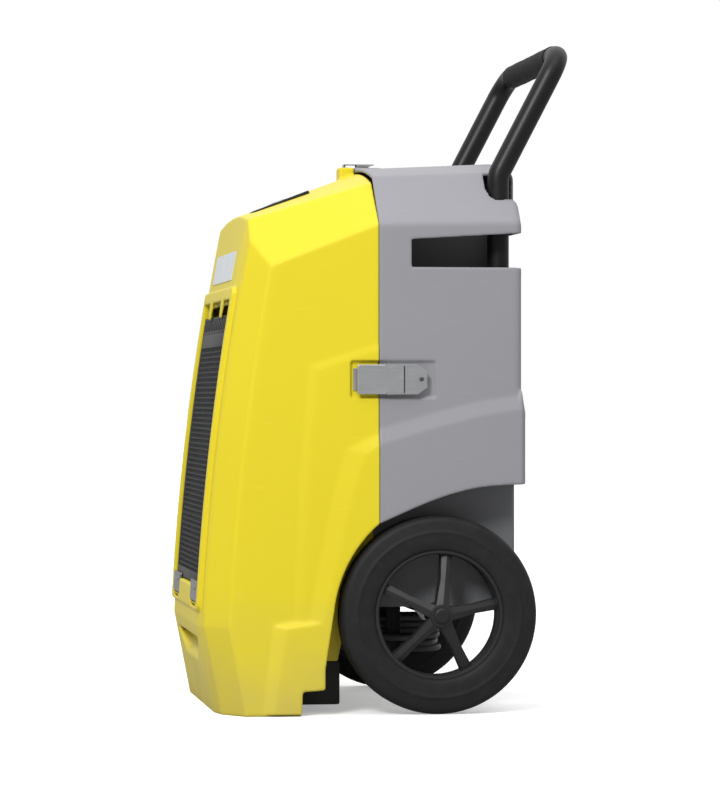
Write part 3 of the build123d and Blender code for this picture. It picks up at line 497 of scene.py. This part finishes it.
def arcPoints(centre, radius, start, end, count):
    return [(centre[0] + radius * math.cos(math.radians(a)), centre[1] + radius * math.sin(math.radians(a)))
            for a in np.linspace(start, end, count)]


# Tyres: smooth wall with a faint ridge, round shoulders, three shallow grooves in the tread.
tyre = {"middle": 0.212, "seat": 0.0825, "tread": 0.127, "shoulder": 0.0105, "groove": 0.0012,
        "sides": 144}


def tyreProfile():
    right = [(0.018, tyre["seat"]), (0.0195, 0.0833), (0.0208, 0.0860), (0.0217, 0.0900), (0.0222, 0.0950),
             (0.0225, 0.1000), (0.0226, 0.1035), (0.0229, 0.1042), (0.0230, 0.1055), (0.0229, 0.1068),
             (0.0225, 0.1075), (0.0219, 0.1100)]
    right += arcPoints((0.0110, 0.1165), tyre["shoulder"], 12, 80, 10)
    tread = []
    for x in (0.0095, 0.0, -0.0095):
        tread += [(x + 0.0016, tyre["tread"]), (x + 0.0009, tyre["tread"] - tyre["groove"]),
                  (x - 0.0009, tyre["tread"] - tyre["groove"]), (x - 0.0016, tyre["tread"])]
    left = [(-x, r) for x, r in reversed(right)]
    return right + tread + left


for side, sign in (("right", 1), ("left", -1)):
    hub = (sign * tyre["middle"], axle["y"], axle["z"])
    mesh = turned([(sign * x, r) for x, r in tyreProfile()], hub, tyre["sides"])
    smoothShaded(mesh, 50)
    place("wheel_tyre_" + side, mesh, "wheelRubber", "wheel_" + side, ["tyre_" + side])
print("tyres turned")

# Foam grip: soft ends, faint waist where hands hold it.
grip = {"half": 0.138, "r": 0.0156, "bore": 0.0141, "y": 0.2283, "z": 0.849}
outer = [(-grip["half"], grip["bore"]), (-grip["half"], grip["r"] - 0.0009),
         (-grip["half"] + 0.0008, grip["r"] - 0.0002)]
for x in np.linspace(-grip["half"] + 0.003, grip["half"] - 0.003, 60):
    outer.append((float(x), grip["r"] - 0.00025 - 0.00022 * math.sin(61 * x) * math.sin(23 * x)))
outer += [(grip["half"] - 0.0008, grip["r"] - 0.0002), (grip["half"], grip["r"] - 0.0009),
          (grip["half"], grip["bore"])]
mesh = turned(outer, (0, grip["y"], grip["z"]), 48)
smoothShaded(mesh, 60)
place("foam_grip", mesh, "foamGrip", "handle", ["handle_grip"])
print("grip turned")


# Trees for pieces that repeat.
def newTree(name, inputs):
    tree = bpy.data.node_groups.new(name, "GeometryNodeTree")
    tree.interface.new_socket(name="Geometry", in_out="OUTPUT", socket_type="NodeSocketGeometry")
    for label, kind in inputs.items():
        tree.interface.new_socket(name=label, in_out="INPUT", socket_type="NodeSocket" + kind)
    board = Board(tree)
    given = tree.nodes.new("NodeGroupInput")
    return board, {label: Wire(board, given.outputs[label]) for label in inputs}


def closeTree(board, shape, look):
    real = board.add("GeometryNodeRealizeInstances", None, {0: shape})
    done = board.add("GeometryNodeSetMaterial", None, {0: real, "Material": finishes[look]})
    output = board.tree.nodes.new("NodeGroupOutput")
    board.tree.links.new(done.socket, output.inputs[0])
    return board.tree


def grown(tree, values):
    piece = bpy.data.objects.new("work", bpy.data.meshes.new("work"))
    bpy.context.scene.collection.objects.link(piece)
    modifier = piece.modifiers.new("grown", "NODES")
    modifier.node_group = tree
    for item in tree.interface.items_tree:
        if item.in_out == "INPUT" and item.name in values:
            modifier[item.identifier] = values[item.name]
    made = evaluated(piece)
    bpy.data.objects.remove(piece)
    return made


def meshGrilleTree():
    # Honeycomb of small six-sided rings, bent on the front's curve.
    board, given = newTree("intakeMesh", {"Pitch": "Float", "Wire": "Float", "Columns": "Int", "Rows": "Int",
                                          "Middle Z": "Float", "Radius": "Float", "Centre Y": "Float",
                                          "Centre Z": "Float"})
    ring = board.add("GeometryNodeMeshCircle", None, {"Vertices": 6, "Radius": given["Pitch"] * 0.5774})
    ring = board.add("GeometryNodeMeshToCurve", None, {0: ring})
    bar = board.add("GeometryNodeCurvePrimitiveQuadrilateral", None,
                    {"Width": given["Wire"], "Height": given["Wire"]})
    cell = board.add("GeometryNodeCurveToMesh", None, {0: ring, 1: bar})
    cell = board.add("GeometryNodeTransform", None, {0: cell, "Rotation": (math.pi / 2, math.pi / 6, 0)})
    rise = given["Pitch"] * 0.8660
    lattice = board.add("GeometryNodeMeshGrid", None,
                        {"Size X": (given["Columns"] - 1.0) * given["Pitch"],
                         "Size Y": (given["Rows"] - 1.0) * rise,
                         "Vertices X": given["Columns"], "Vertices Y": given["Rows"]})
    spot = board.add("GeometryNodeInputPosition")
    x = board.add("ShaderNodeSeparateXYZ", None, {0: spot}, 0)
    y = board.add("ShaderNodeSeparateXYZ", None, {0: spot}, 1)
    row = board.add("ShaderNodeMath", {"operation": "ROUND"},
                    {0: y / rise + 0.25 + (given["Rows"] - 1.0) * 0.5})
    shift = (row % 2.0 - 0.5) * given["Pitch"] * 0.5
    upright = board.add("ShaderNodeCombineXYZ", None, {0: x + shift, 1: 0.0, 2: y + given["Middle Z"]})
    lattice = board.add("GeometryNodeSetPosition", None, {0: lattice, "Position": upright})
    cells = board.add("GeometryNodeInstanceOnPoints", None, {"Points": lattice, "Instance": cell})
    cells = board.add("GeometryNodeRealizeInstances", None, {0: cells})
    spot = board.add("GeometryNodeInputPosition")
    x = board.add("ShaderNodeSeparateXYZ", None, {0: spot}, 0)
    y = board.add("ShaderNodeSeparateXYZ", None, {0: spot}, 1)
    z = board.add("ShaderNodeSeparateXYZ", None, {0: spot}, 2)
    up = z - given["Centre Z"]
    back = given["Centre Y"] - (given["Radius"] * given["Radius"] - up * up) ** 0.5
    bent = board.add("ShaderNodeCombineXYZ", None, {0: x, 1: back + y, 2: z})
    cells = board.add("GeometryNodeSetPosition", None, {0: cells, "Position": bent})
    return closeTree(board, cells, "grilleSteel")


def bentStrip(low, high, outerEdge, innerEdge, halfX, centreX=0.0, steps=24):
    # Solid strip that follows the front's curve between two depths.
    points, faces = [], []
    for z in np.linspace(low, high, steps + 1):
        for x in (centreX - halfX, centreX + halfX):
            points += [(x, float(faceY(z, outerEdge)), z), (x, float(faceY(z, innerEdge)), z)]
    for i in range(steps):
        a, b = 4 * i, 4 * (i + 1)
        faces += [(a, a + 2, b + 2, b), (a + 1, b + 1, b + 3, a + 3), (a, b, b + 1, a + 1),
                  (a + 2, a + 3, b + 3, b + 2)]
    faces += [(0, 1, 3, 2), (4 * steps, 4 * steps + 2, 4 * steps + 3, 4 * steps + 1)]
    return points, faces


def joined(parts):
    points, faces = [], []
    for more, sides in parts:
        faces += [tuple(len(points) + i for i in side) for side in sides]
        points += more
    mesh = bpy.data.meshes.new("joined")
    mesh.from_pydata(points, [], faces)
    work = bmesh.new()
    work.from_mesh(mesh)
    bmesh.ops.recalc_face_normals(work, faces=work.faces)
    work.to_mesh(mesh)
    work.free()
    return mesh


intake = {"low": 0.163, "high": 0.489, "half": 0.154, "pitch": 0.0078, "wire": 0.0013, "columns": 37,
          "rows": 45, "out": -0.0012, "in": -0.0039, "side": 0.1495, "sideHalf": 0.0045}
mesh = grown(meshGrilleTree(), {
    "Pitch": intake["pitch"], "Wire": intake["wire"], "Columns": intake["columns"], "Rows": intake["rows"],
    "Middle Z": (intake["low"] + intake["high"]) / 2, "Radius": face["r"] - 0.0028,
    "Centre Y": face["y"], "Centre Z": face["z"]})
place("intake_mesh", mesh, "grilleSteel", "grille")


def sheetStrip(low, high, halfX, centreX=0.0, steps=2):
    # A strip as deep as the grille's sheet.
    return bentStrip(low, high, intake["out"], intake["in"], halfX, centreX, steps)


rim = joined([
    sheetStrip(intake["low"], intake["low"] + 0.013, intake["half"], steps=3),
    sheetStrip(intake["high"] - 0.018, intake["high"], intake["half"], steps=3),
] + [
    sheetStrip(intake["low"] + 0.0128, intake["high"] - 0.0178, intake["sideHalf"], x, 30)
    for x in (intake["side"], -intake["side"])
])
rim = throughModifier(rim, "BEVEL", width=0.0006, segments=2, limit_method="ANGLE", angle_limit=0.6)
smoothShaded(rim, 40)
place("intake_rim", rim, "grilleSteel", "grille", ["front_grille"])
# Hook plate: two rails and a row of slats between them.
slats = [sheetStrip(0.4888, 0.4935, intake["half"]), sheetStrip(0.5085, 0.5118, intake["half"])]
for x in np.linspace(-0.147, 0.147, 15):
    slats.append(sheetStrip(0.4934, 0.5086, 0.0062, float(x)))
plate = throughModifier(joined(slats), "BEVEL", width=0.0005, segments=2, limit_method="ANGLE",
                        angle_limit=0.6)
smoothShaded(plate, 40)
place("intake_hook_plate", plate, "blackPlastic", "grille")
print("intake mesh grown:", len(mesh.polygons))

# Pleated filter in a thin frame, behind the mesh.
pleats = {"half": 0.1455, "low": 0.174, "high": 0.480, "count": 46, "front": -0.0075, "back": -0.0185,
          "rows": 14, "thick": 0.0006}
points, faces = [], []
rows = pleats["rows"]
folds = 2 * pleats["count"]
for i in range(folds + 1):
    x = -pleats["half"] + 2 * pleats["half"] * i / folds
    out = pleats["front"] if i % 2 else pleats["back"]
    for j in range(rows + 1):
        z = pleats["low"] + (pleats["high"] - pleats["low"]) * j / rows
        points.append((x, float(faceY(z, out)), z))
for i in range(folds):
    for j in range(rows):
        a = i * (rows + 1) + j
        faces.append((a, a + rows + 1, a + rows + 2, a + 1))
mesh = bpy.data.meshes.new("pleats")
mesh.from_pydata(points, [], faces)
mesh = throughModifier(mesh, "SOLIDIFY", thickness=pleats["thick"], offset=0)
place("filter_pleats", mesh, "filterMedia", "grille")
edging = {"out": -0.007, "in": -0.019, "half": 0.147, "side": 0.1458, "sideHalf": 0.0012}
sides = joined([
    bentStrip(0.172, 0.1745, edging["out"], edging["in"], edging["half"], steps=2),
    bentStrip(0.4795, 0.482, edging["out"], edging["in"], edging["half"], steps=2),
] + [
    bentStrip(0.1743, 0.4797, edging["out"], edging["in"], edging["sideHalf"], x, 20)
    for x in (edging["side"], -edging["side"])
])
smoothShaded(sides, 30)
place("filter_frame", sides, "fanPlastic", "grille", ["air_filter"])
print("filter pleated")


def finTree():
    # Thin plates in a row, through which tubes pass.
    board, given = newTree("coilFinRow", {"Count": "Int", "Pitch": "Float", "Thick": "Float", "Deep": "Float",
                                          "Tall": "Float", "X": "Float", "Y": "Float", "Z": "Float"})
    size = board.add("ShaderNodeCombineXYZ", None, {0: given["Thick"], 1: given["Deep"], 2: given["Tall"]})
    plate = board.add("GeometryNodeMeshCube", None, {"Size": size})
    step = board.add("ShaderNodeCombineXYZ", None, {0: given["Pitch"]})
    start = board.add("ShaderNodeCombineXYZ", None, {0: given["X"], 1: given["Y"], 2: given["Z"]})
    row = board.add("GeometryNodeMeshLine", None,
                    {"Count": given["Count"], "Start Location": start, "Offset": step})
    plates = board.add("GeometryNodeInstanceOnPoints", None, {"Points": row, "Instance": plate})
    return closeTree(board, plates, "coilFins")


def bendTree():
    # Return bends on a coil's end plate, one above another.
    board, given = newTree("coilBends", {"Count": "Int", "Pitch": "Float", "Bend": "Float", "Tube": "Float",
                                         "X": "Float", "Y": "Float", "Z": "Float"})
    arc = board.add("GeometryNodeCurveArc", {"mode": "RADIUS"},
                    {"Resolution": 9, "Radius": given["Bend"], "Start Angle": -math.pi / 2,
                     "Sweep Angle": math.pi})
    section = board.add("GeometryNodeCurvePrimitiveCircle", {"mode": "RADIUS"},
                        {"Resolution": 8, "Radius": given["Tube"]})
    tube = board.add("GeometryNodeCurveToMesh", None, {0: arc, 1: section})
    tube = board.add("GeometryNodeTransform", None, {0: tube, "Rotation": (math.pi / 2, 0, 0)})
    step = board.add("ShaderNodeCombineXYZ", None, {2: given["Pitch"]})
    start = board.add("ShaderNodeCombineXYZ", None, {0: given["X"], 1: given["Y"], 2: given["Z"]})
    row = board.add("GeometryNodeMeshLine", None,
                    {"Count": given["Count"], "Start Location": start, "Offset": step})
    tubes = board.add("GeometryNodeInstanceOnPoints", None, {"Points": row, "Instance": tube})
    return closeTree(board, tubes, "copperPipe")


def cuboid(low, high):
    x, y, z = zip(low, high)
    points = [(i, j, k) for i in x for j in y for k in z]
    return points, [(0, 1, 3, 2), (4, 6, 7, 5), (0, 4, 5, 1), (2, 3, 7, 6), (0, 2, 6, 4), (1, 5, 7, 3)]


coil = {"count": 112, "plate": 0.0012, "inset": 0.012, "fin": 0.0003, "margin": 0.013, "row": 0.0254,
        "tube": 0.0030, "bend": 0.0085, "bends": 15}
fins = finTree()
bends = bendTree()
for source in ("evaporator_coil", "condenser_coil"):
    low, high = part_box(source)
    pitch = (high.x - low.x - 2 * coil["margin"]) / (coil["count"] - 1)
    middle = (low + high) / 2
    mesh = grown(fins, {"Count": coil["count"], "Pitch": pitch, "Thick": coil["fin"],
                        "Deep": high.y - low.y - 0.001, "Tall": high.z - low.z - 0.001,
                        "X": low.x + coil["margin"], "Y": middle.y, "Z": middle.z})
    place(source + "_fins", mesh, "coilFins", "body")
    ends = [cuboid((x, low.y, low.z), (x + coil["plate"], high.y, high.z))
            for x in (low.x + coil["inset"] - 0.001, high.x - coil["inset"])]
    for z in np.arange(low.z + 0.02, high.z - 0.015, coil["row"]):
        for y in (low.y + 0.010, high.y - 0.010):
            ends.append(cuboid((low.x + 0.011, y - 0.003, z - 0.003), (high.x - 0.011, y + 0.003, z + 0.003)))
    place(source + "_ends", joined(ends), "zincSteel", "body", [source])
    for end, x in (("right", high.x - coil["inset"]), ("left", low.x + coil["inset"])):
        mesh = grown(bends, {"Count": coil["bends"], "Pitch": coil["row"], "Bend": coil["bend"],
                             "Tube": coil["tube"], "X": x, "Y": middle.y, "Z": low.z + 0.030})
        if end == "left":
            mesh.transform(Matrix.Translation((2 * x, 0, 0)) @ Matrix.Scale(-1, 4, (1, 0, 0)))
            mesh.flip_normals()
        smoothShaded(mesh, 60)
        place(source + "_bends_" + end, mesh, "copperPipe", "body")
print("coils finned")

# Digits on the display and rings round the keys, on the panel's slope.
panel = {"y": axle["y"] - 0.185, "z": 0.6608, "slope": math.radians(21)}
onPanel = Matrix.Translation((0, panel["y"], panel["z"])) @ Matrix.Rotation(panel["slope"], 4, "X")
segments = {"4": "fgbc", "5": "afgcd"}
digit = {"wide": 0.010, "tall": 0.019, "bar": 0.0016}


def segmentBoxes(shown, x):
    w, h, b = digit["wide"] / 2, digit["tall"] / 2, digit["bar"] / 2
    bars = {"a": (0, h, 1), "g": (0, 0, 1), "d": (0, -h, 1), "f": (-w, h / 2, 0), "b": (w, h / 2, 0),
            "e": (-w, -h / 2, 0), "c": (w, -h / 2, 0)}
    made = []
    for letter in segments[shown]:
        u, v, flat = bars[letter]
        du, dv = (w - b, b) if flat else (b, h / 2 - b)
        made.append(cuboid((x + u - du, v - dv, 0.0018), (x + u + du, v + dv, 0.0020)))
    return made


mesh = joined(segmentBoxes("4", -0.058) + segmentBoxes("5", -0.042))
mesh.transform(onPanel)
place("display_digits", mesh, "displayGlow", "body")


def ringParts(x, inner, outerRing, low, high, sides=40):
    points, faces = [], []
    for i in range(sides):
        a = 2 * math.pi * i / sides
        for r, h in ((inner, low), (outerRing, low), (outerRing, high), (inner, high)):
            points.append((x + r * math.cos(a), r * math.sin(a), h))
    for i in range(sides):
        for j in range(4):
            a, b = 4 * i + j, 4 * i + (j + 1) % 4
            c, d = 4 * ((i + 1) % sides) + (j + 1) % 4, 4 * ((i + 1) % sides) + j
            faces.append((a, b, c, d))
    return points, faces


keys = {"x": (-0.004, 0.020, 0.044, 0.068), "inner": 0.0088, "outer": 0.0094, "low": 0.0014, "high": 0.0017}
rings = [ringParts(x, keys["inner"], keys["outer"], keys["low"], keys["high"]) for x in keys["x"]]
marks = [cuboid((x - 0.003, -0.0185, keys["low"]), (x + 0.003, -0.0172, keys["high"])) for x in keys["x"]]
mesh = joined(rings + marks)
mesh.transform(onPanel)
place("panel_print", mesh, "panelPrint", "body")
print("panel dressed")

# Webbing strap that holds the wound lead: a closed band with thick edges.
strap = {"x": (-0.0673, 0.0383), "z": (0.0657, 0.1335), "y": 0.0313, "half": 0.0098, "thick": 0.0014,
         "round": 0.0042}


def strapLoop(grow):
    (x0, x1), (z0, z1), r = strap["x"], strap["z"], strap["round"]
    line = []
    for cx, cz, a in ((x1 - r + 0.001, z1 - r, 0), (x0 + r - 0.001, z1 - r, 90),
                      (x0 + r - 0.001, z0 + r, 180), (x1 - r + 0.001, z0 + r, 270)):
        line += arcPoints((cx, cz), r - 0.001 + grow, a, a + 90, 7)
    return line


def strapMesh():
    section = [(0.0, -1.0), (0.3, -1.05), (0.7, -1.05), (1.0, -1.0), (1.0, -0.86), (0.8, -0.80), (0.8, 0.80),
               (1.0, 0.86), (1.0, 1.0), (0.7, 1.05), (0.3, 1.05), (0.0, 1.0)]
    loops = [strapLoop(0.001 + depth * strap["thick"]) for depth, width in section]
    points, faces = [], []
    length = len(loops[0])
    for i in range(length):
        for (depth, width), loop in zip(section, loops):
            points.append((loop[i][0], strap["y"] + width * strap["half"] * 0.95, loop[i][1]))
    n = len(section)
    for i in range(length):
        for j in range(n):
            a, b = i * n + j, i * n + (j + 1) % n
            c, d = ((i + 1) % length) * n + (j + 1) % n, ((i + 1) % length) * n + j
            faces.append((a, b, c, d))
    return joined([(points, faces)])


mesh = strapMesh()
smoothShaded(mesh, 40)
place("lead_strap", mesh, "strapWebbing", "body", ["cord_strap"])
print("strap made")

# Mains lead: gland, tail, outer turns that climb, inner turns that drop, outer turns again, and the plug.
lead = {"r": 0.0042, "middle": 0.0323, "half": 0.031, "outer": 0.0338, "inner": 0.0252,
        "low": 0.0702, "high": 0.1118, "start": 0.0868, "end": 0.0785, "corner": math.cos(math.radians(15))}
tail = [(0.059, -0.03219, 0.09516), (0.059, -0.0067, 0.090), (0.055, 0.0183, 0.087),
        (0.048, 0.0433, 0.0855), (0.034, 0.0653, 0.0845)]
plugEnd = [(-0.035, 0.1003, 0.080), (-0.0475, 0.0853, 0.0805), (-0.0525, 0.0673, 0.081),
           (-0.0525, 0.0493, 0.081)]


def wound(stages):
    # Corners of the turns, counter-clockwise from above.
    # A stage is (corners, radius from, to, height from, to).
    path, turn = [], 1
    for corners, r0, r1, z0, z1 in stages:
        for i in range(corners):
            t = i / corners
            a = math.radians(15 + 30 * (turn % 12))
            r = (r0 + (r1 - r0) * t) / lead["corner"]
            end = 1 if turn % 12 < 6 else -1
            loose = 0.0011 * math.sin(2.3 * turn) + 0.0006 * math.sin(5.1 * turn)
            path.append((r * math.cos(a), lead["middle"] + end * (lead["half"] + loose) + r * math.sin(a),
                         z0 + (z1 - z0) * t))
            turn += 1
    return path


route = tail + wound([
    (36, lead["outer"], lead["outer"], lead["start"], lead["high"]),
    (6, lead["outer"], lead["inner"], lead["high"], lead["high"]),
    (60, lead["inner"], lead["inner"], lead["high"], lead["low"]),
    (6, lead["inner"], lead["outer"], lead["low"], lead["low"]),
    (13, lead["outer"], lead["outer"], lead["low"], lead["end"])]) + plugEnd
curve = bpy.data.curves.new("mains_lead", "CURVE")
curve.dimensions = "3D"
spline = curve.splines.new("NURBS")
spline.points.add(len(route) - 1)
for point, at in zip(spline.points, route):
    point.co = (*at, 1.0)
spline.order_u = 3
spline.use_endpoint_u = True
curve.resolution_u = 8
measured = bpy.data.objects.new("measured", curve)
bpy.context.scene.collection.objects.link(measured)
line = evaluated(measured)
bpy.data.objects.remove(measured)
curve.bevel_depth = lead["r"]
curve.bevel_resolution = 4
curve.use_fill_caps = True
mainsLead = place("mains_lead", curve, "cordRubber", "body", ["power_cord", "cord_hank", "plug_lead"])

# Room: a pale floor and an even light with no walls, as in a studio.
floor = joined([([(-60, -60, 0), (60, -60, 0), (60, 60, 0), (-60, 60, 0)], [(0, 1, 2, 3)])])
floorPiece = bpy.data.objects.new("studio_floor", floor)
bpy.context.scene.collection.objects.link(floorPiece)


def grey(value):
    return (value, value, value, 1)


def floorPaint(board, spot):
    # The floor gives the object less light back than its own pale look, so that sides keep their shape.
    seen = board.add("ShaderNodeLightPath")
    pale = board.blend(board.noise(spot, 0.8, 2.0), grey(0.80), grey(0.83))
    return {"Base Color": board.blend(seen, grey(0.42), pale),
            "Emission Color": board.blend(seen, grey(0.0), grey(1.0)), "Emission Strength": 0.34,
            "Roughness": clamped(board, 0.6 + board.noise(spot, 3.0, 2.0) * 0.1)}


floor.materials.append(finish("studioFloor", floorPaint))

world = bpy.data.worlds.new("studio")
bpy.context.scene.world = world
world.use_nodes = True
world.node_tree.nodes.clear()
sky = Board(world.node_tree)
towards = sky.add("ShaderNodeTexCoord", None, None, "Generated")
toX = sky.add("ShaderNodeSeparateXYZ", None, {0: towards}, 0)
toY = sky.add("ShaderNodeSeparateXYZ", None, {0: towards}, 1)
toZ = sky.add("ShaderNodeSeparateXYZ", None, {0: towards}, 2)
# Light from all round, more from above and from the left, less from in front.
share = {"even": 0.16, "above": 1.08, "left": 0.45, "behind": 0.10, "front": 0.14, "leftSpread": 2.5}
power = (share["even"] + clamped(sky, toZ) * share["above"]
         + clamped(sky, 0.0 - toX * share["leftSpread"]) * share["left"]
         + clamped(sky, toY) * share["behind"] - clamped(sky, 0.0 - toY) * share["front"])
seen = sky.add("ShaderNodeLightPath")
glow = sky.add("ShaderNodeBackground", None, {0: (1, 1, 1, 1), 1: seen + (1.0 - seen) * power})
sky.tree.links.new(glow.socket, sky.tree.nodes.new("ShaderNodeOutputWorld").inputs["Surface"])


def softLight(name, at, aim, size, power):
    lamp = bpy.data.lights.new(name, "AREA")
    lamp.shape = "RECTANGLE"
    lamp.size, lamp.size_y = size
    lamp.energy = power
    piece = bpy.data.objects.new(name, lamp)
    piece.location = at
    piece.rotation_euler = (Vector(aim) - Vector(at)).to_track_quat("-Z", "Y").to_euler()
    bpy.context.scene.collection.objects.link(piece)


softLight("overhead", (1.2, 0.3, 3.0), (0, 0, 0.5), (2.0, 2.0), 16)
softLight("sideKey", (2.9, -1.7, 2.7), (0, 0, 0.4), (0.9, 0.9), 118)

view = {"at": (4.6326, -0.6912, 0.4058), "turn": math.radians(8.4), "lens": 158.9, "sensor": 36}
camera = bpy.data.cameras.new("camera")
camera.lens = view["lens"]
camera.sensor_width = view["sensor"]
cameraPiece = bpy.data.objects.new("camera", camera)
cameraPiece.location = view["at"]
ahead = Vector((-math.cos(view["turn"]), math.sin(view["turn"]), 0))
cameraPiece.rotation_euler = ahead.to_track_quat("-Z", "Y").to_euler()
bpy.context.scene.collection.objects.link(cameraPiece)
bpy.context.scene.camera = cameraPiece
bpy.context.scene.view_settings.view_transform = "Standard"
print("room and camera set")
